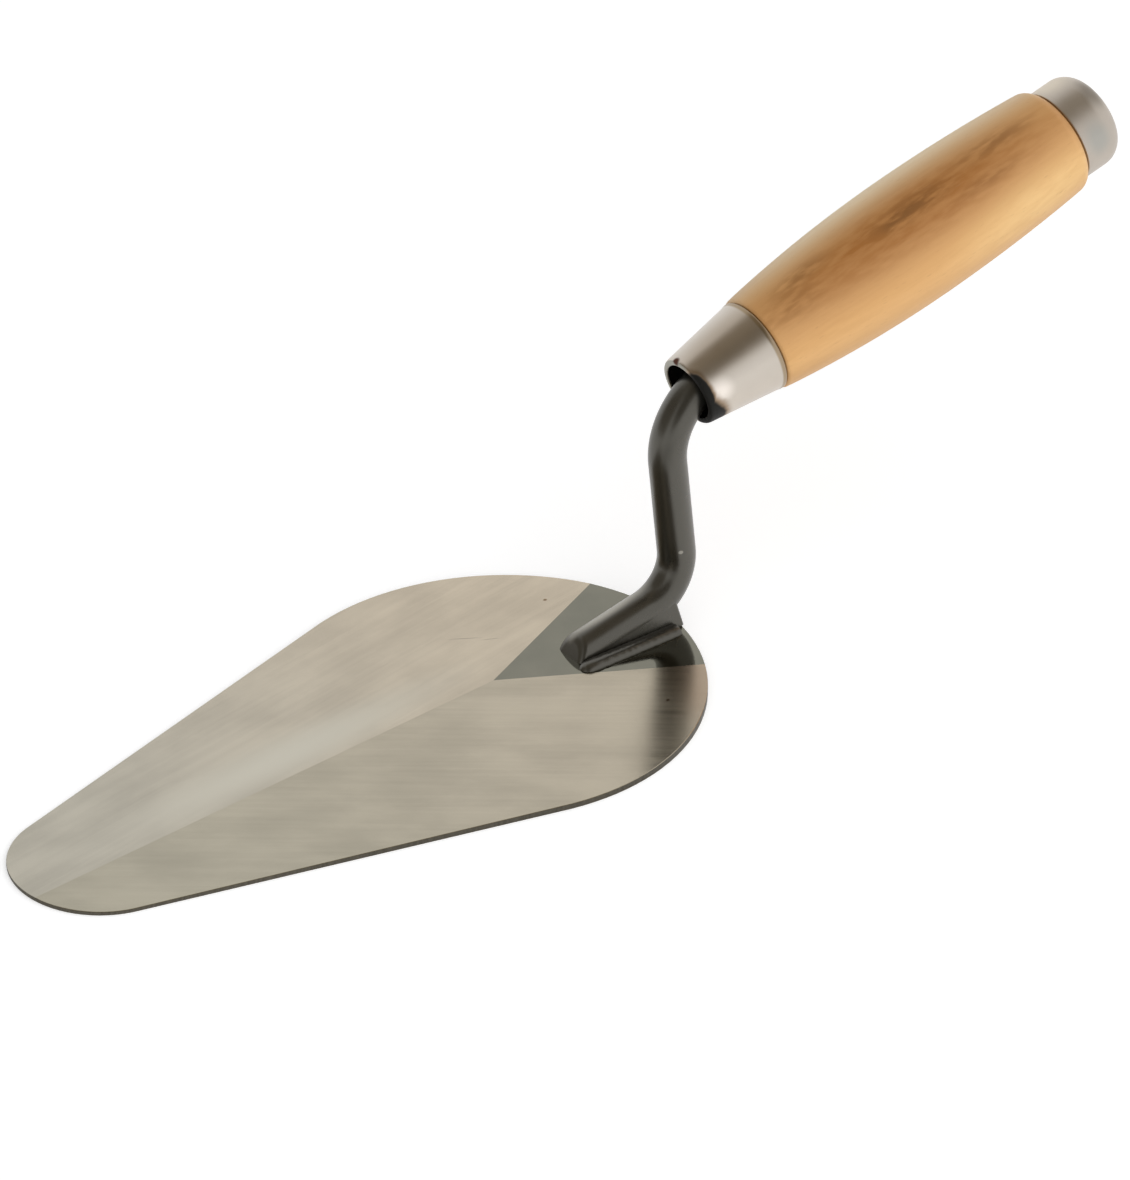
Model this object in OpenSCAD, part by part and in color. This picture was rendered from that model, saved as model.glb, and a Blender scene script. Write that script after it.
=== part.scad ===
// Brick trowel: taper-ground teardrop blade, cranked shank, wooden handle with ferrule and end cap.
// The origin is on the blade's underside, on the centreline, at the widest place.
// +X runs from the tip to the handle, +Z up. Sizes are in millimetres and degrees.

/* [Blade] */
// Length of the blade from tip to heel
blade_l = 200; // [160:1:240]
// Greatest width of the blade
blade_w = 106.6; // [92:0.2:115]
// Radius of the rounded tip
tip_r = 23.5; // [15:0.5:32]
// Radius of the two shoulders, which meet at the heel
shoulder_r = 58; // [58:0.5:75]
// Thickness of the flat that carries the shank's foot
blade_t = 2.4; // [2:0.1:4]
// Thickness left at the tip by the grinding
tip_t = 1.2; // [0.8:0.1:1.8]
// Distance from the heel to the front point of the flat
flat_l = 53.4; // [45:0.5:65]
// Width of the flat where it runs out at the heel's edge
flat_w = 46.8; // [36:0.5:60]
// Sideways place of the flat's front point
flat_point_y = 3; // [-4:0.5:4]
// Sideways place of the ridge where it runs out at the tip
ridge_tip_y = -4; // [-6:0.5:6]

/* [Shank] */
// Diameter of the round bar
bar_d = 9.8; // [8:0.1:11]
// Distance from the heel to the front end of the foot
foot_reach = 32; // [24:0.5:40]
// Height of the bar's axis above the flat, at the front end of the foot
foot_lift = -0.4; // [-1:0.1:3]
// Slope of the foot, in degrees
foot_rise = 12; // [6:0.5:18]
// Length of the straight foot
foot_l = 24.2; // [20:0.2:32]
// Lean of the foot's front end towards the handle, in degrees
foot_lean = 24; // [0:1:35]
// Slope outwards of the foot's flat sides, in degrees
sole_draft = 10; // [4:0.5:14]
// Length of the flat sides, up to the foot's square back end
sole_l = 31.4; // [26:0.2:34]
// Radius of the lower bend, on the bar's axis
low_bend_r = 13; // [8:0.5:20]
// Lean of the neck towards the tip, in degrees
neck_lean = 6; // [0:0.5:12]
// Length of the straight neck
neck_l = 27; // [15:0.1:45]
// Radius of the upper bend, on the bar's axis
top_bend_r = 19; // [14:0.5:25]
// Slope of the handle, in degrees
handle_tilt = 14.6; // [5:0.2:25]
// Length of the tapered tang behind the upper bend
tang_l = 80; // [50:1:95]
// Diameter of the tang's end
tang_end_d = 5; // [3:0.1:7]

/* [Welds] */
// Diameter of a bead
weld_d = 5.2; // [4:0.2:6]
// Distance of a bead's axis from the centreline
weld_y = 6.9; // [6:0.1:8]
// Depth of a bead's axis below the flat
weld_sink = 0.2; // [0.1:0.1:1]
// Distance from the heel to the square back end of both beads
weld_inset = 2.6; // [1.5:0.1:6]
// Length of the near bead behind its round front
near_weld_l = 28.4; // [15:0.2:30]
// Length of the far bead behind its round front
far_weld_l = 7; // [5:0.2:30]

/* [Ferrule] */
// Length of the ferrule
ferrule_l = 22.2; // [16:0.2:28]
// Outer diameter at the mouth
mouth_d = 18.8; // [17:0.2:22]
// Outer diameter at the wood
ferrule_d = 25.2; // [24:0.2:28]
// Wall of the ferrule
ferrule_wall = 1; // [0.6:0.1:1.6]
// Chamfer on the outer edge beside the wood
ferrule_chamfer = 0.5; // [0.2:0.1:0.8]
// How far the mouth reaches over the upper bend
mouth_cover = 8.2; // [4:0.2:9]

/* [Handle] */
// Length of the wood between ferrule and cap
wood_l = 99; // [80:1:120]
// Diameter of the wood at the ferrule
wood_front_d = 25.8; // [24:0.2:28]
// Greatest diameter of the wood
wood_d = 33; // [30:0.2:38]
// Diameter of the wood where its back edge starts to round
wood_back_d = 29.2; // [27:0.2:30]
// Distance from the ferrule to the thickest place
belly_l = 52; // [30:0.5:60]
// Radius of the wood's back edge
wood_round = 3.5; // [1:0.1:5]
// Chamfer on the wood's front edge
wood_chamfer = 0.5; // [0.2:0.1:1]

/* [End cap] */
// Outer diameter of the cap
cap_d = 25.2; // [22:0.2:26]
// Length of the cap behind the wood
cap_l = 12.8; // [10:0.2:16]
// Wall of the cap
cap_wall = 0.9; // [0.6:0.1:1.5]
// Radius of the cap's back edge
cap_round = 6; // [3:0.1:8]

/* [Fits] */
// Clearance between the wood and the metal round it or in it
fit_gap = 0.1; // [0.05:0.05:0.2]
// Clearance between a bead and the foot
weld_gap = 0.05; // [0.02:0.01:0.1]
// Distance from the end of the upper bend to the wood's nose inside the ferrule
nose_gap = 1; // [0.4:0.2:3]

/* [Hidden] */
$fn = 96;
// Segments of the long, shallow arcs along the handle
long_arc_fn = 1440;
// Step to which the radii of those arcs are rounded
arc_radius_step = 0.1;
// Overshoot of a cutting shape, and overlap of shapes that join
over = 1;
// Small step where a straight stretch runs into a round one, and how far it runs in
joint_step = 0.02;
joint_lap = 0.4;
// Step between a bead's round front and the straight run behind it
bead_step = 0.2;
// Side of the blocks that cut along a plane
block = 2 * (blade_l + blade_w);

// Blade
shoulder_y = shoulder_r - blade_w / 2;
heel_x = sqrt(pow(shoulder_r, 2) - pow(shoulder_y, 2));
tip_x = heel_x - blade_l;
tip_c = [tip_x + tip_r, 0];
shoulder_c = [0, -shoulder_y];
// Direction of the outward normal of a straight flank
flank_run = norm(shoulder_c - tip_c);
flank_heading = atan2(shoulder_c.y - tip_c.y, shoulder_c.x - tip_c.x);
flank_normal = flank_heading + acos((tip_r - shoulder_r) / flank_run);
flank_dir = [cos(flank_normal), sin(flank_normal)];
flank_front = tip_c + (tip_r - joint_step) * flank_dir;
flank_back = shoulder_c + (shoulder_r - joint_step) * flank_dir;
// Points that the ground faces pass through
ridge_tip = [tip_x, ridge_tip_y, tip_t];
flat_point = [heel_x - flat_l, flat_point_y, blade_t];
flat_corner_x = sqrt(pow(shoulder_r, 2) - pow(shoulder_y + flat_w / 2, 2));

// Shank: corners of its path in the XZ plane, and the bar's direction in each stretch
bar_r = bar_d / 2;
neck_dir = 90 + neck_lean;
foot_start = [heel_x - foot_reach, blade_t + foot_lift];
foot_end = foot_start + foot_l * heading(foot_rise);
neck_start = foot_end + low_bend_r * bend_chord(foot_rise, neck_dir);
neck_end = neck_start + neck_l * heading(neck_dir);
tang_start = neck_end - top_bend_r * bend_chord(neck_dir, handle_tilt);

// Handle: places along its axis, from the ferrule's mouth
mouth = tang_start - mouth_cover * heading(handle_tilt);
nose_z = mouth_cover + nose_gap;
wood_z = ferrule_l + fit_gap;
belly_z = wood_z + belly_l;
wood_end_z = wood_z + wood_l;
wood_round_z = wood_end_z - wood_round;
cap_z = wood_end_z + fit_gap;
cap_end_z = cap_z + cap_l;
spigot_r = cap_d / 2 - cap_wall - fit_gap;
spigot_end_z = cap_end_z - cap_wall - fit_gap;
ferrule_slope = (ferrule_d - mouth_d) / 2 / ferrule_l;
front_arc_r = sagitta_radius(belly_l, (wood_d - wood_front_d) / 2);
back_arc_r = sagitta_radius(wood_round_z - belly_z, (wood_d - wood_back_d) / 2);

// Unit vector at an angle in the XZ plane
function heading(angle) = [cos(angle), sin(angle)];

// Step across a bend of unit radius, from one direction to another
function bend_chord(from, to) = [sin(to) - sin(from), cos(from) - cos(to)];

// Radius of an arc that drops by a depth over a run from its crest, to the nearest step
function sagitta_radius(run, drop) =
    round((pow(run, 2) + pow(drop, 2)) / (2 * drop) / arc_radius_step) * arc_radius_step;

// Outer radius of the ferrule at a distance from its mouth
function ferrule_r(z) = mouth_d / 2 + ferrule_slope * z;

// Plate of full thickness: the round tip, the straight flanks, and the shoulders that meet at the heel
module blade_plate() {
    translate(tip_c) cylinder(h = blade_t, r = tip_r);
    linear_extrude(blade_t)
        polygon([
            flank_front,
            flank_back,
            [flank_back.x, -flank_back.y],
            [flank_front.x, -flank_front.y]
        ]);
    intersection() {
        translate(shoulder_c) cylinder(h = blade_t, r = shoulder_r);
        translate(-shoulder_c) cylinder(h = blade_t, r = shoulder_r);
    }
}

// All that lies above the plane through three points
module above_plane(a, b, c) {
    cross_ab = cross(b - a, c - a);
    normal = cross_ab.z > 0 ? cross_ab : -cross_ab;
    translate(b)
        rotate([0, acos(normal.z / norm(normal)), atan2(normal.y, normal.x)])
            translate([-block / 2, -block / 2, 0]) cube(block);
}

// The underside is flat. The flat and the two ground faces meet at the flat's front point.
module blade() {
    color("#b9b09e")
        difference() {
            blade_plate();
            for (side = [-1, 1])
                above_plane(ridge_tip, flat_point, [flat_corner_x, side * flat_w / 2, blade_t]);
        }
}

// Moves to a point of the XZ plane
module at(point) {
    translate([point.x, 0, point.y]) children();
}

// Turns +Z into a direction of the XZ plane
module along(angle) {
    rotate([0, 90 - angle, 0]) children();
}

// Round bend that starts at a point, from one direction to another
module bend(start, from, to, radius) {
    left = to > from ? 1 : -1;
    centre = start + left * radius * heading(from + 90);
    at(centre)
        rotate([90, 0, 0])
            rotate(min(from, to) - left * 90)
                rotate_extrude(angle = abs(to - from)) translate([radius, 0]) circle(bar_r);
}

// The foot, grown by a clearance: a bar whose flat sides slope outwards down to the blade, cut off leaning
module foot(gap = 0) {
    side_r = bar_r - joint_step + gap;
    top_y = (side_r - joint_step) * cos(sole_draft);
    top_z = (side_r - joint_step) * sin(sole_draft);
    depth = foot_lift + sole_l;
    base_y = top_y + (depth + top_z) * tan(sole_draft);
    difference() {
        at(foot_start)
            along(foot_rise)
                translate([0, 0, -over]) {
                    cylinder(h = over + foot_l + joint_lap, r = side_r);
                    linear_extrude(over + sole_l + gap)
                        polygon([[-top_z, -top_y], [-top_z, top_y], [depth, base_y], [depth, -base_y]]);
                }
        translate([foot_start.x - gap, 0, blade_t])
            rotate([0, foot_lean, 0])
                translate([-block, -block / 2, -block / 2]) cube(block);
    }
}

module below_flat() {
    translate([-block / 2, -block / 2, blade_t - block]) cube(block);
}

module shank() {
    color("#2d2d2a")
        difference() {
            union() {
                foot();
                bend(foot_end, foot_rise, neck_dir, low_bend_r);
                at(neck_start - joint_lap * heading(neck_dir))
                    along(neck_dir)
                        cylinder(h = neck_l + 2 * joint_lap, r = bar_r - joint_step);
                bend(neck_end, neck_dir, handle_tilt, top_bend_r);
                at(tang_start - joint_lap * heading(handle_tilt))
                    along(handle_tilt)
                        cylinder(h = tang_l + joint_lap, r1 = bar_r - joint_step, r2 = tang_end_d / 2);
            }
            below_flat();
        }
}

// Bead beside the foot, round in front and cut off square behind
module weld(side, length) {
    color("#33322f")
        difference() {
            translate([heel_x - weld_inset - length, side * weld_y, blade_t - weld_sink])
                along(0) {
                    sphere(d = weld_d);
                    cylinder(h = length, d = weld_d - bead_step);
                }
            below_flat();
            foot(weld_gap);
        }
}

module near_weld() {
    weld(-1, near_weld_l);
}

module far_weld() {
    weld(1, far_weld_l);
}

// Moves to the ferrule's mouth, with +Z along the handle
module on_handle() {
    at(mouth) along(handle_tilt) children();
}

module ferrule() {
    color("#b5aeab")
        on_handle()
            rotate_extrude()
                polygon([
                    [mouth_d / 2 - ferrule_wall, 0],
                    [mouth_d / 2, 0],
                    [ferrule_r(ferrule_l - ferrule_chamfer), ferrule_l - ferrule_chamfer],
                    [ferrule_d / 2 - ferrule_chamfer, ferrule_l],
                    [ferrule_d / 2 - ferrule_wall, ferrule_l]
                ]);
}

// Half section of a round bar between two places along the axis, with a rounded back edge
module rounded_end(radius, from, to, rounding) {
    translate([0, from]) square([radius, to - rounding - from]);
    translate([0, from]) square([radius - rounding, to - from]);
    intersection() {
        translate([radius - rounding, to - rounding]) circle(rounding);
        translate([0, to - rounding]) square([radius, rounding]);
    }
}

// Half section of the grip between ferrule and cap
module grip_section() {
    intersection() {
        translate([0, wood_z + wood_chamfer]) square([wood_d, belly_l - wood_chamfer]);
        translate([wood_d / 2 - front_arc_r, belly_z]) circle(front_arc_r, $fn = long_arc_fn);
    }
    intersection() {
        translate([0, belly_z]) square([wood_d, wood_round_z - belly_z]);
        translate([wood_d / 2 - back_arc_r, belly_z]) circle(back_arc_r, $fn = long_arc_fn);
    }
    polygon([
        [0, wood_z],
        [wood_front_d / 2 - wood_chamfer, wood_z],
        [wood_front_d / 2, wood_z + wood_chamfer],
        [wood_front_d / 2, wood_z + wood_chamfer + over],
        [0, wood_z + wood_chamfer + over]
    ]);
    back_edge_r = wood_back_d / 2 - wood_round - joint_step;
    translate([0, wood_round_z - over]) square([back_edge_r, wood_round + over]);
    intersection() {
        translate([back_edge_r, wood_round_z]) circle(wood_round);
        translate([0, wood_round_z - over]) square([wood_d, wood_round + over]);
    }
}

// Half section of the nose inside the ferrule and the spigot inside the cap
module ends_section() {
    nose_back_z = wood_z + over;
    polygon([
        [0, nose_z],
        [ferrule_r(nose_z) - ferrule_wall - fit_gap, nose_z],
        [ferrule_r(nose_back_z) - ferrule_wall - fit_gap, nose_back_z],
        [0, nose_back_z]
    ]);
    rounded_end(spigot_r, wood_end_z - over, spigot_end_z, cap_round - cap_wall - fit_gap);
}

module handle() {
    color("#d2a06e")
        difference() {
            on_handle()
                rotate_extrude() {
                    grip_section();
                    ends_section();
                }
            at(tang_start)
                along(handle_tilt)
                    cylinder(h = tang_l + fit_gap, r1 = bar_r + fit_gap, r2 = tang_end_d / 2 + fit_gap);
        }
}

// Half section of the cup, with the same wall all round
module cap_section() {
    difference() {
        rounded_end(cap_d / 2, cap_z, cap_end_z, cap_round);
        rounded_end(cap_d / 2 - cap_wall, cap_z - over, cap_end_z - cap_wall, cap_round - cap_wall);
    }
}

module end_cap() {
    color("#aaa2a0") on_handle() rotate_extrude() cap_section();
}

blade();
shank();
near_weld();
far_weld();
ferrule();
handle();
end_cap();
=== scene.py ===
import math
import random

import bpy
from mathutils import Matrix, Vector


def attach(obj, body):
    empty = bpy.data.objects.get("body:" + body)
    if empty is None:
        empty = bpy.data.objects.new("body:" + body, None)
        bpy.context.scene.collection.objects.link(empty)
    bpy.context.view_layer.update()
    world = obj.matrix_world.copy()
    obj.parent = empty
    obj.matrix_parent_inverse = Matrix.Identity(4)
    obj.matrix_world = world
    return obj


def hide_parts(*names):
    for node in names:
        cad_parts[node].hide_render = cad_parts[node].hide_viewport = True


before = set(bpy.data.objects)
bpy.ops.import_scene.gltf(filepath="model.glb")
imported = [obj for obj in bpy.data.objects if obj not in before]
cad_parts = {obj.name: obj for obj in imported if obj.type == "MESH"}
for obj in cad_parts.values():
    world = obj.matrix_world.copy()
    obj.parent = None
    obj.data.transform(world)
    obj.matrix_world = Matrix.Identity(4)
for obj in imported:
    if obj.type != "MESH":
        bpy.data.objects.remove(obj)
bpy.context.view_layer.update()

# Blade. A teardrop plate of carbon steel, taper-ground on top from a flat triangle out to a thin rim.
# The two ground wings and the underside are satin bright, and the triangle keeps its dark rolled skin.
# The sheared rim is dark, partly from its own scale and partly painted shade, with its edges just broken
# by the grinding.
MM = 0.001
FLAT_HEIGHT = 2.4 * MM
RIM_BREAK = 0.2 * MM
SPECK = (0.2, 0.13, 0.07)
TAN = (0.4, 0.315, 0.232)
TIP_TONE_X = -130 * MM
HEEL_TONE_X = 50 * MM
TONE_SPREAD = 0.12
MERGE = 0.001 * MM
SAME_PLANE = 0.02 * MM


def mm(*sizes):
    return tuple(size * MM for size in sizes)


def feed(node, inputs):
    """Sets the sockets of a shader node, or links them where a value is a wire."""
    for key, value in inputs.items():
        if isinstance(value, Wire):
            node.id_data.links.new(value.socket, node.inputs[key])
        else:
            node.inputs[key].default_value = value


class Wire:
    """A shader socket that takes part in Python arithmetic. Any other node comes from node()."""

    def __init__(self, socket):
        self.socket = socket
        self.tree = socket.id_data

    def node(self, kind, settings, inputs, output=0):
        made = self.tree.nodes.new("ShaderNode" + kind)
        for key, value in settings.items():
            setattr(made, key, value)
        feed(made, inputs)
        return Wire(made.outputs[output])

    def math(self, operation, first, second):
        return self.node("Math", {"operation": operation}, {0: first, 1: second})

    def __add__(self, other):
        return self.math("ADD", self, other)

    def __radd__(self, other):
        return self.math("ADD", other, self)

    def __sub__(self, other):
        return self.math("SUBTRACT", self, other)

    def __rsub__(self, other):
        return self.math("SUBTRACT", other, self)

    def __mul__(self, other):
        return self.math("MULTIPLY", self, other)

    def __rmul__(self, other):
        return self.math("MULTIPLY", other, self)

    def ramp(self, low, high):
        """0 at low, 1 at high, smooth between."""
        settings = {"interpolation_type": "SMOOTHSTEP"}
        return self.node("MapRange", settings, {"Value": self, "From Min": low, "From Max": high})

    def tint(self, first, second):
        """A colour that goes from the first to the second as this value goes from 0 to 1."""
        ends = [end if isinstance(end, Wire) else (*end, 1.0) for end in (first, second)]
        settings = {"data_type": "RGBA", "clamp_factor": True}
        return self.node("Mix", settings, {0: self, 6: ends[0], 7: ends[1]}, output=2)

    def cells(self, size, turn=(0.0, 0.0, 0.0), centre=(0.0, 0.0, 0.0)):
        """These coordinates turned and counted in cells, so that a pattern can be long one way."""
        inputs = {"Vector": self, "Location": centre, "Rotation": turn, "Scale": size}
        return self.node("Mapping", {"vector_type": "TEXTURE"}, inputs)

    def noise(self, detail):
        """Noise with one wave to a cell, from 0 to 1."""
        return self.node("TexNoise", {}, {"Vector": self, "Scale": 1.0, "Detail": detail})

    def spot(self, centre, size, turn=(0.0, 0.0, 0.0), soft=0.5):
        """1 at a centre, 0 outside an ellipsoid of these half axes round it, with a soft edge."""
        away = self.cells(size, turn, centre)
        return away.node("VectorMath", {"operation": "LENGTH"}, {0: away}, "Value").ramp(1.0, 1.0 - soft)

    def bump(self, depth):
        """A normal from this height, which runs from 0 to 1 over the depth."""
        return self.node("Bump", {}, {"Height": self, "Distance": depth, "Strength": 1.0})


def new_finish(name):
    """A new material and its Object coordinates."""
    material = bpy.data.materials.new(name)
    material.use_nodes = True
    return material, Wire(material.node_tree.nodes.new("ShaderNodeTexCoord").outputs["Object"])


def lay(material, inputs):
    """Gives a material's shader its values and wires."""
    feed(material.node_tree.nodes["Principled BSDF"], inputs)


def level_turn(angle):
    """A turn by degrees in the blade's plane."""
    return 0.0, 0.0, math.radians(angle)


def ground_steel(name, grinding, tip, heel, marks):
    """Satin steel with grinding marks at an angle in the blade's plane, paler or darker towards the heel.

    A mark is a discoloured patch, a speck, a scratch or a painted highlight: its centre and half axes in
    millimetres, its angle, softness and colour.
    """
    material, place = new_finish(name)
    fine = place.cells(mm(26, 0.32, 0.32), level_turn(grinding)).noise(2.0)
    coarse = place.cells(mm(60, 1.9, 1.9), level_turn(grinding)).noise(2.0)
    cloud = place.cells(mm(26, 16, 16), level_turn(grinding)).noise(5.0)
    tone = cloud.ramp(0.3, 0.7) * 0.68 + coarse.ramp(0.3, 0.7) * 0.2 + fine.ramp(0.3, 0.7) * 0.12
    back = place.node("SeparateXYZ", {}, {0: place}, "X").ramp(TIP_TONE_X, HEEL_TONE_X)
    dark, light = [
        back.tint([c * shade for c in tip], [c * shade for c in heel])
        for shade in (1 - TONE_SPREAD, 1 + TONE_SPREAD)
    ]
    colour = tone.tint(dark, light)
    for centre, size, angle, soft, stain_and_painted_light in marks:
        spot = place.spot(mm(*centre), mm(*size), level_turn(angle), soft)
        colour = spot.tint(colour, stain_and_painted_light)
    lay(material, {
        "Base Color": colour,
        "Metallic": 1.0,
        "Roughness": 0.13 + fine * 0.08 + coarse * 0.08,
        "Normal": (fine * 0.7 + coarse * 0.3).bump(0.022 * MM),
    })
    return material


def rolled_skin():
    """The dark, smooth skin of the triangle, left from rolling."""
    material, place = new_finish("rolled_skin")
    cloud = place.cells(mm(9, 9, 9)).noise(4.0)
    grain = place.cells(mm(0.5, 0.5, 0.5)).noise(2.0)
    lay(material, {
        "Base Color": cloud.tint((0.165, 0.163, 0.132), (0.225, 0.215, 0.172)),
        "Metallic": 1.0,
        "Roughness": 0.03 + cloud * 0.05 + grain * 0.03,
        "Normal": grain.bump(0.002 * MM),
    })
    return material


def sheared_rim_and_painted_shade():
    """The rim, dark partly from its own scale and partly from painted shade, with upright drag marks of
    the shear.
    """
    material, place = new_finish("sheared_rim_and_painted_shade")
    drag = place.cells(mm(0.6, 0.6, 3)).noise(3.0)
    lay(material, {
        # Dark base colour: partly the sheared edge's own scale, partly painted shade.
        "Base Color": drag.tint((0.05, 0.045, 0.036), (0.16, 0.145, 0.115)),
        "Metallic": 1.0,
        "Roughness": 0.4 + drag * 0.2,
        "Normal": drag.bump(0.02 * MM),
    })
    return material


def work_on(piece, mode):
    """Selects a piece alone and goes into a mode with it."""
    if bpy.context.object and bpy.context.object.mode != "OBJECT":
        bpy.ops.object.mode_set(mode="OBJECT")
    bpy.ops.object.select_all(action="DESELECT")
    piece.select_set(True)
    bpy.context.view_layer.objects.active = piece
    bpy.ops.object.mode_set(mode=mode)


def node_copy(name, node):
    """A piece of its own that starts from a CAD node's mesh, merged and with its flat faces made whole."""
    piece = bpy.data.objects.new(name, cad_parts[node].data.copy())
    bpy.context.scene.collection.objects.link(piece)
    piece.data.materials.clear()
    work_on(piece, "EDIT")
    bpy.ops.mesh.select_all(action="SELECT")
    bpy.ops.mesh.remove_doubles(threshold=MERGE)
    bpy.ops.mesh.customdata_custom_splitnormals_clear()
    bpy.ops.mesh.dissolve_limited(angle_limit=math.radians(0.05))
    bpy.ops.object.mode_set(mode="OBJECT")
    return piece


def modify(piece, kind, settings):
    """Adds a modifier and applies it."""
    work_on(piece, "OBJECT")
    modifier = piece.modifiers.new(kind.lower(), kind)
    for key, value in settings.items():
        setattr(modifier, key, value)
    bpy.ops.object.modifier_apply(modifier=modifier.name)


def smooth(piece, angle):
    """Shades a piece smooth where its faces meet at less than an angle."""
    work_on(piece, "OBJECT")
    bpy.ops.object.shade_smooth_by_angle(angle=math.radians(angle))
    modify(piece, "WEIGHTED_NORMAL", {"keep_sharp": True, "weight": 100})


def hand_in(piece, node):
    """The piece stands for a CAD node, which is hidden, and rides on the root body."""
    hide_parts(node)
    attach(piece, "root")


blade = node_copy("steel_blade", "blade")
finishes = [
    ground_steel("ground_near", grinding=-38, tip=(0.388, 0.36, 0.284), heel=(0.445, 0.394, 0.306), marks=[
        ((48.0, -27.0, 2.0), (13.0, 30.0, 9.0), -38, 0.7, TAN),
        ((33.6, -30.3, 2.0), (0.8, 0.5, 2.0), 20, 0.6, SPECK),
    ]),
    ground_steel("ground_far", grinding=8, tip=(0.428, 0.402, 0.335), heel=(0.505, 0.436, 0.335), marks=[
        # Painted highlight: a lighter band along the ridge of the far wing stands in for a soft
        # reflection.
        ((-62.0, 8.0, 2.0), (76.0, 11.0, 9.0), 3, 0.95, (0.53, 0.5, 0.42)),
        ((37.1, 24.5, 2.0), (0.7, 0.6, 2.0), 0, 0.6, SPECK),
        ((10.6, 22.9, 2.0), (5.5, 0.25, 2.0), -33, 0.8, (0.34, 0.3, 0.24)),
        ((15.5, 18.6, 2.0), (3.5, 0.2, 2.0), -28, 0.8, (0.36, 0.32, 0.25)),
    ]),
    ground_steel("ground_under", grinding=0, tip=(0.43, 0.395, 0.32), heel=(0.45, 0.4, 0.31), marks=[]),
    rolled_skin(),
    sheared_rim_and_painted_shade(),
]
for finish in finishes:
    blade.data.materials.append(finish)
NEAR, FAR, UNDER, SKIN, RIM = range(len(finishes))
for face in blade.data.polygons:
    if abs(face.normal.z) < 0.5:
        face.material_index = RIM
    elif face.normal.z < 0:
        face.material_index = UNDER
    elif all(abs(blade.data.vertices[i].co.z - FLAT_HEIGHT) < SAME_PLANE for i in face.vertices):
        face.material_index = SKIN
    else:
        face.material_index = NEAR if face.normal.y < 0 else FAR
modify(blade, "BEVEL", {
    "width": RIM_BREAK, "segments": 2, "limit_method": "ANGLE", "angle_limit": math.radians(30),
})
smooth(blade, 0.6)
hand_in(blade, "blade")

# Shank. One length of round steel bar, bent twice to crank the handle up, and dipped in black lacquer.
# Its foot is forged down to a flat sole on the blade's triangle and cut off leaning in front.
# Its tapered tang goes up into the handle. Each rise is in degrees up from the blade.
BAR_RADIUS = 4.9 * MM
BAR_SIDES = 72
BEND_STEPS = 28
FOOT_START = Vector((25.809, 0.0, 2.0)) * MM
FOOT_RISE = 12
FOOT_LENGTH = 24.2 * MM
FOOT_SPARE = 4 * MM
FOOT_LEAN = math.radians(24)
TOE_ROUNDING = 1.7 * MM
LOW_BEND = 13 * MM
NECK_RISE = 96
NECK_LENGTH = 27.0 * MM
TOP_BEND = 19 * MM
HANDLE_RISE = 14.6
TANG_LENGTH = 80 * MM
TANG_THINNING = 0.51
SOLE_LENGTH = 31.4 * MM
SOLE_DEPTH = 12 * MM
SOLE_DRAFT = math.radians(10)
SOLE_EASE = 0.99
SOLE_ROUNDING = 0.7 * MM


def lacquer():
    """Black lacquer with soft sags, a chip on the low bend and a paler strip along the far top of the
    foot.
    """
    material, place = new_finish("black_lacquer")
    peel = place.cells(mm(1.6, 1.6, 1.6)).noise(2.0)
    sag = place.cells(mm(9, 9, 9)).noise(2.0)
    chip = place.spot(mm(57.64, -4.55, 23.2), mm(0.75, 1.3, 0.65))
    along_foot = (0.0, math.radians(-FOOT_RISE), 0.0)
    # The far top of the foot is made paler along a strip.
    paler_far_top = place.spot(mm(39, 1.9, 9.4), mm(19, 2.9, 3.2), along_foot, 0.8)
    body = sag.tint((0.007, 0.0065, 0.005), (0.013, 0.012, 0.0095))
    body = paler_far_top.tint(body, (0.42, 0.395, 0.335))
    lay(material, {
        "Base Color": chip.tint(body, (0.25, 0.24, 0.21)),
        "Roughness": 0.22 + sag * 0.14,
        "IOR": 1.9,
        "Specular Tint": (1.0, 0.955, 0.84, 1.0),
        "Normal": (peel * 0.4 + sag * 0.6).bump(0.035 * MM),
    })
    return material


def heading(angle):
    """Unit vector at an angle up from the blade, in the plane that halves the trowel."""
    return Vector((math.cos(math.radians(angle)), 0.0, math.sin(math.radians(angle))))


def turn_up(angle):
    """Turns what is selected about the origin, from lying along Z to an angle up from the blade."""
    turn = math.radians(angle - 90)
    bpy.ops.transform.rotate(value=turn, orient_axis="Y", center_override=(0.0, 0.0, 0.0))


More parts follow.
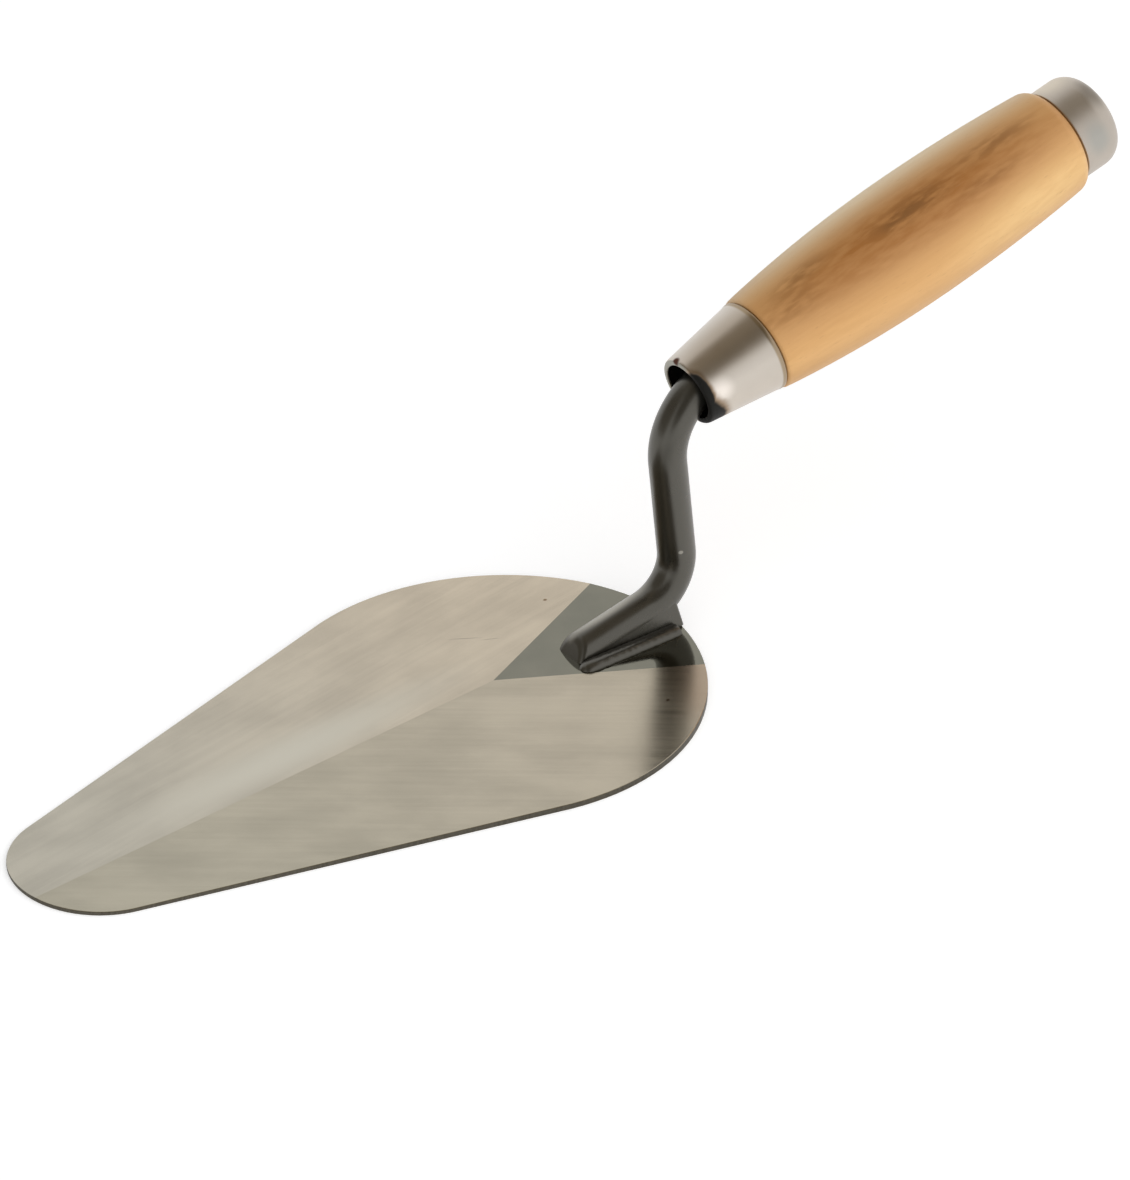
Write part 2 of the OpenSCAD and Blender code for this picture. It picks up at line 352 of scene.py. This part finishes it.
def bent_bar(name):
    """The bar, bent round from a little in front of the foot to the end of the tang."""
    bpy.ops.object.select_all(action="DESELECT")
    bpy.ops.mesh.primitive_circle_add(vertices=BAR_SIDES, radius=BAR_RADIUS, fill_type="NOTHING")
    bar = bpy.context.object
    bar.name = name
    place = FOOT_START - FOOT_SPARE * heading(FOOT_RISE)
    work_on(bar, "EDIT")
    bpy.ops.mesh.select_all(action="SELECT")
    turn_up(FOOT_RISE)
    bpy.ops.transform.translate(value=place)

    def straight(length, angle):
        nonlocal place
        bpy.ops.mesh.extrude_region_move(TRANSFORM_OT_translate={"value": length * heading(angle)})
        place = place + length * heading(angle)

    def bend(radius, start, end):
        nonlocal place
        side = 90 if end > start else -90
        centre = place + radius * heading(start + side)
        turn = math.radians(end - start)
        bpy.ops.mesh.spin(steps=BEND_STEPS, angle=turn, center=centre, axis=(0.0, 1.0, 0.0))
        place = centre + radius * heading(end - side)

    straight(FOOT_SPARE + FOOT_LENGTH, FOOT_RISE)
    bend(LOW_BEND, FOOT_RISE, NECK_RISE)
    straight(NECK_LENGTH, NECK_RISE)
    bend(TOP_BEND, NECK_RISE, HANDLE_RISE)
    straight(TANG_LENGTH, HANDLE_RISE)
    bpy.ops.transform.resize(value=(TANG_THINNING,) * 3, center_override=place)
    bpy.ops.mesh.edge_face_add()
    bpy.ops.mesh.select_non_manifold()
    bpy.ops.mesh.edge_face_add()
    bpy.ops.mesh.select_all(action="SELECT")
    bpy.ops.mesh.remove_doubles(threshold=MERGE)
    bpy.ops.mesh.normals_make_consistent(inside=False)
    bpy.ops.object.mode_set(mode="OBJECT")
    return bar


def choose_edges(piece, point, direction):
    """Selects the edges of the flat face that looks in a direction and lies in the plane of a point."""
    work_on(piece, "EDIT")
    bpy.ops.mesh.select_mode(type="EDGE")
    bpy.ops.mesh.select_all(action="DESELECT")
    bpy.ops.object.mode_set(mode="OBJECT")
    chosen = set()
    for face in piece.data.polygons:
        if face.normal.dot(direction) > 0.999 and abs((face.center - point).dot(direction)) < SAME_PLANE:
            chosen.update(face.edge_keys)
    for edge in piece.data.edges:
        edge.select = edge.key in chosen
    bpy.ops.object.mode_set(mode="EDIT")
    bpy.ops.mesh.select_mode(type="VERT")


def cut(piece, point, normal):
    """Cuts a piece with a plane, keeps the side that the normal points to, and closes the cut."""
    work_on(piece, "EDIT")
    bpy.ops.mesh.select_all(action="SELECT")
    bpy.ops.mesh.bisect(
        plane_co=point, plane_no=normal, use_fill=True, clear_inner=True, threshold=MERGE,
    )


def sole_block():
    """The block with sloping sides under the foot, as the hammer leaves it."""
    top_width = BAR_RADIUS * math.cos(SOLE_DRAFT)
    top_height = BAR_RADIUS * math.sin(SOLE_DRAFT)
    length = FOOT_SPARE + SOLE_LENGTH
    height = SOLE_DEPTH + top_height
    spread = 1.0 + height * math.tan(SOLE_DRAFT) / top_width
    bpy.ops.object.select_all(action="DESELECT")
    bpy.ops.mesh.primitive_cube_add(size=1.0)
    block = bpy.context.object
    block.name = "sole_block"
    work_on(block, "EDIT")
    bpy.ops.mesh.select_all(action="SELECT")
    bpy.ops.transform.resize(value=(height, 2 * SOLE_EASE * top_width, length))
    bpy.ops.transform.translate(value=((SOLE_DEPTH - top_height) / 2, 0.0, length / 2 - FOOT_SPARE))
    bpy.ops.object.mode_set(mode="OBJECT")
    choose_edges(block, Vector((SOLE_DEPTH, 0.0, 0.0)), Vector((1.0, 0.0, 0.0)))
    bpy.ops.transform.resize(value=(1.0, spread, 1.0), center_override=(0.0, 0.0, 0.0))
    choose_edges(block, Vector((0.0, 0.0, SOLE_LENGTH)), Vector((0.0, 0.0, 1.0)))
    bpy.ops.mesh.bevel(offset=SOLE_ROUNDING, segments=4, affect="EDGES")
    bpy.ops.mesh.select_all(action="SELECT")
    turn_up(FOOT_RISE)
    bpy.ops.transform.translate(value=FOOT_START)
    bpy.ops.object.mode_set(mode="OBJECT")
    return block


black = lacquer()
shank = bent_bar("bent_shank")
sole = sole_block()
modify(shank, "BOOLEAN", {"operation": "UNION", "solver": "EXACT", "object": sole})
bpy.data.objects.remove(sole)
toe = Vector((FOOT_START.x, 0.0, FLAT_HEIGHT))
front = Vector((-math.cos(FOOT_LEAN), 0.0, math.sin(FOOT_LEAN)))
cut(shank, toe, -front)
choose_edges(shank, toe, front)
bpy.ops.mesh.bevel(offset=TOE_ROUNDING, segments=6, affect="EDGES")
cut(shank, toe, Vector((0.0, 0.0, 1.0)))
bpy.ops.object.mode_set(mode="OBJECT")
shank.data.materials.clear()
shank.data.materials.append(black)
smooth(shank, 30)
hand_in(shank, "shank")

# Welds. A bead of weld metal lies along the foot on each side, a long one near and a short one far.
# Each is laid in small overlapping ripples from the heel forwards, and is lacquered with the shank.
BEAD_RADIUS = 2.5 * MM
BEAD_FACETS = 40
BEAD_SIDE = 6.9 * MM
BEAD_HEIGHT = 2.2 * MM
BEAD_BACK = 54.6 * MM
NEAR_FRONT = 24.3 * MM
FAR_FRONT = 45.8 * MM
BEAD_FLATNESS = 0.78
BEAD_START = 0.93
BEAD_GAP = 0.05 * MM
RIPPLE = 2.2 * MM
RIPPLE_ROOM = 1.4 * RIPPLE
NOSE_ANGLES = (25, 45, 60, 72, 82)


def bead(name, side, front, seed):
    """A rippled bead on one side of the foot, from the heel to a round front."""
    chance = random.Random(seed)
    centre = Vector((BEAD_BACK, side * BEAD_SIDE, BEAD_HEIGHT))
    bpy.ops.object.select_all(action="DESELECT")
    start_radius = BEAD_START * BEAD_RADIUS
    bpy.ops.mesh.primitive_circle_add(vertices=BEAD_FACETS, radius=start_radius, fill_type="NGON")
    piece = bpy.context.object
    piece.name = name
    work_on(piece, "EDIT")
    bpy.ops.mesh.select_all(action="SELECT")
    bpy.ops.transform.rotate(value=math.pi / 2, orient_axis="Y", center_override=(0.0, 0.0, 0.0))
    bpy.ops.transform.translate(value=centre)
    girth = BEAD_START

    def run_on(step, target):
        nonlocal girth
        bpy.ops.mesh.extrude_region_move(TRANSFORM_OT_translate={"value": (-step, 0.0, 0.0)})
        centre.x -= step
        scale = target / girth
        bpy.ops.transform.resize(value=(1.0, scale, scale), center_override=centre)
        girth = target

    while centre.x - RIPPLE_ROOM > front + BEAD_RADIUS:
        step = RIPPLE * chance.uniform(0.6, 1.3)
        crest = chance.uniform(0.985, 1.015)
        valley = chance.uniform(0.955, 0.985)
        for share, target in ((0.3, crest), (0.4, crest), (0.3, valley)):
            run_on(share * step, target)
    nose = centre.x - front
    for angle in NOSE_ANGLES:
        target = front + nose * (1.0 - math.sin(math.radians(angle)))
        run_on(centre.x - target, math.cos(math.radians(angle)))
    bpy.ops.mesh.select_all(action="SELECT")
    bpy.ops.transform.resize(value=(1.0, 1.0, BEAD_FLATNESS), center_override=centre)
    cut(piece, toe, Vector((0.0, 0.0, 1.0)))
    lift = heading(FOOT_RISE + 90) * math.sin(SOLE_DRAFT)
    normal = lift + Vector((0.0, side * math.cos(SOLE_DRAFT), 0.0))
    cut(piece, FOOT_START + (BAR_RADIUS + BEAD_GAP) * normal, normal)
    bpy.ops.mesh.select_all(action="SELECT")
    bpy.ops.mesh.normals_make_consistent(inside=False)
    bpy.ops.object.mode_set(mode="OBJECT")
    piece.data.materials.append(black)
    smooth(piece, 40)
    return piece


hand_in(bead("near_bead", -1, NEAR_FRONT, seed=5), "near_weld")
hand_in(bead("far_bead", 1, FAR_FRONT, seed=11), "far_weld")

# Handle. Turned from one billet of light beech, sanded and given a thin satin varnish.
# A nose at its front goes into the ferrule, a spigot at its back into the cap, and the tang up the middle.
# What is turned has its profile in millimetres, along the axis from the ferrule's mouth.
MOUTH = Vector((63.055, 0.0, 66.264)) * MM
AXIS = heading(HANDLE_RISE)
ACROSS = heading(HANDLE_RISE + 90)
HANDLE_TURN = (0.0, math.radians(90 - HANDLE_RISE), 0.0)
TURNED_STEPS = 128
FRONT_ARC = 377.4
BACK_ARC = 498.9
BELLY = 74.3
BELLY_RADIUS = 16.5
STAIN_RADIUS = 16.0
CAP_CORNER = (128.2, 6.6)
BLACK_NOSE = 16 * MM


def on_handle(along, angle, radius):
    """A point by its millimetres from the mouth, its angle up from the near side, and its radius."""
    turn = math.radians(angle)
    aside = ACROSS * math.sin(turn) + Vector((0.0, -math.cos(turn), 0.0))
    return MOUTH + AXIS * along * MM + aside * radius * MM


def handle_spot(place, along, angle, radius, wide, long, soft):
    """A spot on the handle or its fittings, with its half axes across and along in millimetres."""
    return place.spot(on_handle(along, angle, radius), mm(wide, wide, long), HANDLE_TURN, soft)


def turned(name, profile):
    """A piece turned about the handle's axis from its profile.

    A point of the profile is its distance from the mouth and its radius, in millimetres.
    """
    points = [on_handle(along, 90, radius) for along, radius in profile]
    bpy.ops.object.select_all(action="DESELECT")
    bpy.ops.mesh.primitive_plane_add(size=MM)
    piece = bpy.context.object
    piece.name = name
    work_on(piece, "EDIT")
    bpy.ops.mesh.select_all(action="SELECT")
    bpy.ops.mesh.merge(type="CENTER")
    bpy.ops.transform.translate(value=points[0])
    for start, end in zip(points, points[1:]):
        bpy.ops.mesh.extrude_vertices_move(TRANSFORM_OT_translate={"value": end - start})
    bpy.ops.mesh.select_all(action="SELECT")
    bpy.ops.mesh.spin(steps=TURNED_STEPS, angle=2 * math.pi, center=MOUTH, axis=AXIS)
    bpy.ops.mesh.select_all(action="SELECT")
    bpy.ops.mesh.remove_doubles(threshold=MERGE)
    bpy.ops.mesh.normals_make_consistent(inside=False)
    bpy.ops.object.mode_set(mode="OBJECT")
    return piece


def arc(centre, radius, start, end, steps):
    """Points of a profile on an arc, by angles from the handle's axis."""
    angles = [math.radians(start + (end - start) * i / steps) for i in range(steps + 1)]
    return [(centre[0] + radius * math.cos(a), centre[1] + radius * math.sin(a)) for a in angles]


def swell(radius, places):
    """Points of the grip's profile on a long arc with its top at the belly."""
    return [(x, BELLY_RADIUS - radius + math.sqrt(radius ** 2 - (BELLY - x) ** 2)) for x in places]


def beech():
    """Light beech with its rings, grain and flecks, a painted sheen along the top, a painted highlight low
    at the back, and brown along the near side that is partly stained and partly painted shade.
    """
    material, place = new_finish("varnished_beech")

    def stretched(long, wide):
        return place.cells(mm(wide, wide, long), HANDLE_TURN, MOUTH)

    def stain_and_painted_light(along, angle, wide, long):
        return handle_spot(place, along, angle, STAIN_RADIUS, wide, long, 0.9)

    ring = stretched(220, 7).noise(3.0)
    grain = stretched(38, 0.9).noise(3.0)
    mottle = stretched(7, 1.6).noise(4.0)
    fleck = stretched(3.2, 0.3).noise(1.0).ramp(0.68, 0.78)
    tone = ring.ramp(0.3, 0.7) * 0.55 + grain.ramp(0.25, 0.75) * 0.25 + mottle.ramp(0.3, 0.7) * 0.2
    colour = tone.tint((0.66, 0.36, 0.135), (0.78, 0.46, 0.19))
    # Painted sheen: the top of the grip is made paler.
    painted_top_sheen = stain_and_painted_light(74, 124, 13.0, 95) * (0.75 + mottle * 0.3)
    colour = painted_top_sheen.tint(colour, (1.0, 0.79, 0.5))
    # Painted highlight low on the near side towards the back.
    painted_low_highlight = stain_and_painted_light(104, 2, 11.0, 40) * (0.2 + mottle * 0.7)
    colour = painted_low_highlight.tint(colour, (0.88, 0.6, 0.27))
    # Brown band along the upper near side: partly the wood's own darker colour, partly painted shade.
    shade = stain_and_painted_light(70, 60, 15.6, 104) * (0.55 + mottle.ramp(0.28, 0.72) * 0.22 + ring * 0.5)
    colour = shade.tint(colour, (0.35, 0.133, 0.022))
    for along, angle, wide, long, depth in (
        (71, 66, 4.6, 19, 0.85),
        (66, 63, 2.2, 6, 0.7),
        (36, 78, 4.0, 15, 0.6),
        (30, 58, 7.0, 14, 0.4),
        (93, 48, 2.8, 16, 0.3),
        (101, 74, 3.4, 20, 0.5),
    ):
        streak = stain_and_painted_light(along, angle, wide, long) * mottle.ramp(0.3, 0.6) * depth
        colour = streak.tint(colour, (0.215, 0.086, 0.016))
    colour = (fleck * 0.3).tint(colour, (0.4, 0.2, 0.08))
    lay(material, {
        "Base Color": colour,
        "Roughness": 0.45 + grain * 0.12,
        "Specular IOR Level": 0.35,
        "Coat Weight": 0.12,
        "Coat Roughness": 0.32,
        "Normal": (grain * 0.7 + fleck * 0.3).bump(0.012 * MM),
    })
    return material


bore = [(88.3, 0.0), (88.3, 2.6), (9.2, 4.97)]
nose = [(9.2, 9.3), (9.6, 9.6), (22.3, 11.5)]
shoulder = [(22.3, 12.2), (22.35, 12.38), (22.5, 12.58), (22.75, 12.8), (23.1, 12.96)]
grip = swell(FRONT_ARC, range(25, 75, 3)) + swell(BACK_ARC, range(77, 117, 3))
back_edge = arc((117.8, 11.08), 3.5, 90, 17, 10)
spigot = [(121.25, 11.55), *arc(CAP_CORNER, 4.95, 90, 0, 8), (133.15, 0.0)]
handle = turned("beech_handle", bore + nose + shoulder + grip + back_edge + spigot)
handle.data.materials.append(beech())
handle.data.materials.append(black)
# The wood's nose inside the ferrule is black, partly from the lacquer run and partly painted shade in the
# recess.
for face in handle.data.polygons:
    face.material_index = 1 if (face.center - MOUTH).dot(AXIS) < BLACK_NOSE else 0
smooth(handle, 35)
hand_in(handle, "handle")

# Ferrule. A cone of thin drawn steel, zinc bright, with a rounded lip at each end.
# It is pressed on to the wood's nose. The black lacquer of the shank has run over the near part of the
# rim, and the inside of its mouth is black, partly from that lacquer and partly painted shade.
LIP_DEPTH = 0.4 * MM


def zinc(place, dark, light, dullness):
    """Colour, roughness and turning marks of bright zinc on drawn steel."""
    round_marks = place.cells(mm(40, 40, 0.3), HANDLE_TURN, MOUTH).noise(2.0)
    cloud = place.cells(mm(8, 8, 8)).noise(3.0)
    return cloud.tint(dark, light), dullness + cloud * 0.12 + round_marks * 0.08, round_marks


def ferrule_finish():
    """Zinc with a painted dark reflection over the top, a painted highlight by the mouth, a painted dark
    reflection on the mouth's face, a brown back lip and the run of lacquer.
    """
    material, place = new_finish("ferrule_steel")
    colour, roughness, marks = zinc(place, (0.54, 0.49, 0.43), (0.63, 0.575, 0.51), 0.22)
    ragged = place.cells(mm(3.5, 3.5, 3.5)).noise(2.0)
    low = handle_spot(place, along=-1.4, angle=-33, radius=9.4, wide=11.8, long=9.4, soft=1.0)
    high = handle_spot(place, along=-1.0, angle=28, radius=9.4, wide=10.5, long=4.8, soft=1.0)
    run = low.math("MAXIMUM", low, high) + (ragged - 0.5) * 0.25
    painted = run.ramp(0.24, 0.42)
    edge = run.ramp(0.04, 0.3)
    rust = handle_spot(place, along=0.2, angle=104, radius=9.2, wide=1.5, long=1.5, soft=0.6)
    along = place.cells(mm(1, 1, 1), HANDLE_TURN, MOUTH)
    along = along.node("SeparateXYZ", {}, {0: along}, "Z")
    lip = along.ramp(20.5, 21.1)
    painted_dark_mouth_face = along.ramp(0.35, 0.05)
    # Painted dark reflection: a darker band over the top of the ferrule.
    painted_dark_band = handle_spot(place, along=13, angle=72, radius=12.0, wide=9.5, long=30, soft=0.7)
    colour = (painted_dark_band * 0.8).tint(colour, (0.4, 0.335, 0.265))
    # Painted highlight by the mouth.
    bright = handle_spot(place, along=4.2, angle=17, radius=9.9, wide=4.6, long=4.8, soft=0.9)
    colour = bright.tint(colour, (0.86, 0.79, 0.72))
    # Painted dark reflection on the face of the mouth.
    colour = (painted_dark_mouth_face * 0.8).tint(colour, (0.22, 0.22, 0.185))
    colour = (lip * 0.85).tint(colour, (0.33, 0.245, 0.15))
    colour = edge.tint(colour, (0.3, 0.22, 0.15))
    colour = rust.tint(colour, (0.1, 0.034, 0.018))
    lay(material, {
        "Base Color": painted.tint(colour, (0.008, 0.0075, 0.006)),
        "Metallic": 1.0 - painted.math("MAXIMUM", painted, rust),
        "Roughness": roughness + rust * 0.4 + painted * 0.3,
        "IOR": 1.3,
        "Normal": marks.bump(0.004 * MM),
    })
    return material


inner_wall = [(22.1, 11.65), (1.5, 8.66)]
lip_inside = [(0.8, 8.3), (0.5, 7.95), (0.32, 7.75), (0.12, 7.78), (0.02, 8.0), (0.0, 8.4)]
lip_outside = [(0.02, 8.88), (0.12, 9.16), (0.4, 9.36), (1.0, 9.52)]
back_lip = [(20.6, 12.33), (21.0, 12.46), (21.5, 12.56), (21.9, 12.5), (22.12, 12.3), (22.18, 12.0)]
ferrule = turned("drawn_ferrule", inner_wall + lip_inside + lip_outside + back_lip + inner_wall[:1])
ferrule.data.materials.append(ferrule_finish())
ferrule.data.materials.append(black)
for face in ferrule.data.polygons:
    arm = face.center - MOUTH
    # The ferrule's inside is black, partly from the lacquer run and partly painted shade in the recess.
    inside = face.normal.dot(arm - AXIS * arm.dot(AXIS)) < 0 and arm.dot(AXIS) > LIP_DEPTH
    face.material_index = 1 if inside else 0
smooth(ferrule, 35)
hand_in(ferrule, "ferrule")

# End cap. A cup of the same thin steel, pressed over the spigot at the back of the wood.
# Its open edge is rounded against the wood, and its back is drawn to a large soft radius.
def cap_finish():
    """Duller zinc, with a painted highlight on top, painted shade on its back edge and a painted cooler
    grey reflection on the near side.
    """
    material, place = new_finish("cap_steel")
    colour, roughness, marks = zinc(place, (0.46, 0.412, 0.36), (0.55, 0.492, 0.43), 0.33)
    for along, angle, radius, wide, long, stain_and_painted_light in (
        # Painted highlight on top.
        (126, 118, 12.6, 8.0, 9.0, (0.66, 0.59, 0.49)),
        # Painted shade on the back edge.
        (131.2, 67, 11.0, 6.6, 3.6, (0.25, 0.216, 0.178)),
        # Painted cooler grey reflection on the near side.
        (126, 14, 12.6, 7.0, 5.0, (0.42, 0.405, 0.37)),
    ):
        spot = handle_spot(place, along, angle, radius, wide, long, 0.8)
        colour = spot.tint(colour, stain_and_painted_light)
    lay(material, {
        "Base Color": colour, "Metallic": 1.0, "Roughness": roughness, "Normal": marks.bump(0.004 * MM),
    })
    return material


cup_inside = [(133.3, 0.0), *arc(CAP_CORNER, 5.1, 0, 90, 10), (121.6, 11.75)]
open_edge = [(121.42, 12.0), (121.46, 12.3), (121.6, 12.5), (121.9, 12.59)]
cup_outside = [*arc(CAP_CORNER, 6.0, 90, 0, 16), (134.2, 0.0)]
cap = turned("pressed_cap", cup_inside + open_edge + cup_outside)
cap.data.materials.append(cap_finish())
smooth(cap, 35)
hand_in(cap, "end_cap")

# Studio. A plain white floor in a soft white room, brightest in front, with one soft lamp low in front.
# Seen straight it is all white. Metal mirrors a dim ceiling, three dim fields and a dim patch of floor.
FLOOR_SIZE = 80.0
FLOOR_GAP = 0.02 * MM
SENSOR = 36.0
LENS = 484.8
TRIPOD = Vector((-1.9988, -2.6302, 2.1804))
AIM = Vector((0.04595, 0.02777, 0.0))
bpy.ops.object.select_all(action="DESELECT")
bpy.ops.mesh.primitive_plane_add(size=FLOOR_SIZE, location=(0.0, 0.0, -FLOOR_GAP))
floor = bpy.context.object
floor.name = "floor"


def seen(tree, names):
    """1 for the rays that carry the background into the picture in these ways."""
    path = tree.nodes.new("ShaderNodeLightPath")
    kinds = [Wire(path.outputs["Is %s Ray" % name]) for name in names]
    total = sum(kinds[1:], kinds[0])
    return total.math("MINIMUM", total, 1.0)


paper, spread = new_finish("white_paper")
flag = spread.spot(mm(-75, -125, 0), mm(150, 100, 1000), soft=0.8)
straight = seen(paper.node_tree, ("Camera", "Transmission"))
mirrored = seen(paper.node_tree, ("Glossy",)) * (1.0 - flag)
lay(paper, {
    "Base Color": (0.8, 0.8, 0.8, 1.0),
    "Roughness": 1.0,
    "Specular IOR Level": 0.0,
    "Emission Color": (straight + mirrored).tint((0.0, 0.0, 0.0), (1.0, 1.0, 1.0)),
    "Emission Strength": 0.46,
})
floor.data.materials.append(paper)

world = bpy.data.worlds.new("studio")
bpy.context.scene.world = world
world.use_nodes = True
sky = world.node_tree.nodes["Background"]
direction = Wire(world.node_tree.nodes.new("ShaderNodeTexCoord").outputs["Generated"])


def towards(pole):
    """How near a direction in the room is to a pole: 1 at the pole, 0 square to it."""
    unit = Vector(pole).normalized()
    return direction.node("VectorMath", {"operation": "DOT_PRODUCT"}, {0: direction, 1: unit}, "Value")


ceiling = towards((0.0, -0.14, 0.99)).ramp(0.76, 0.9)
screen = towards((-0.56, -0.72, 0.4)).ramp(0.9, 0.97)
slope = towards((-0.35, -0.55, 0.76)).ramp(0.87, 0.96)
left = towards((-0.85, 0.3, 0.43)).ramp(0.72, 0.9)
room = ceiling.tint((1.0, 1.0, 1.0), (0.31, 0.265, 0.2))
room = slope.tint(room, (0.2, 0.173, 0.133))
room = left.tint(room, (0.3, 0.27, 0.22))
room = screen.tint(room, (0.19, 0.17, 0.13))
light = towards((0.3, -0.9, -0.1)).ramp(-0.6, 0.9).tint((0.36, 0.36, 0.36), (1.3, 1.3, 1.3))
backdrop = seen(world.node_tree, ("Glossy",)).tint(light, room)
backdrop = seen(world.node_tree, ("Camera", "Transmission")).tint(backdrop, (1.0, 1.0, 1.0))
feed(sky, {"Color": backdrop})


def aimed(place, aim):
    """The turn of a lamp or camera that stands at a place and looks at an aim."""
    return (Vector(aim) - Vector(place)).to_track_quat("-Z", "Y").to_euler()


def soft_lamp(name, place, aim, size, watts):
    """A lamp with a wide white face, which neither the camera nor a mirror sees."""
    lamp = bpy.data.lights.new(name, "AREA")
    lamp.shape = "RECTANGLE"
    lamp.size, lamp.size_y = size
    lamp.energy = watts
    stand = bpy.data.objects.new(name, lamp)
    bpy.context.scene.collection.objects.link(stand)
    stand.location = place
    stand.rotation_euler = aimed(place, aim)
    stand.visible_camera = stand.visible_glossy = False


soft_lamp("key", place=(0.35, -1.6, 0.5), aim=(0.08, 0.0, 0.05), size=(1.6, 1.0), watts=5.3)

camera = bpy.data.cameras.new("camera")
camera.sensor_width = SENSOR
camera.lens = LENS
tripod = bpy.data.objects.new("camera", camera)
bpy.context.scene.collection.objects.link(tripod)
tripod.location = TRIPOD
tripod.rotation_euler = aimed(TRIPOD, AIM)
bpy.context.scene.camera = tripod

bpy.context.scene.view_settings.view_transform = "Standard"
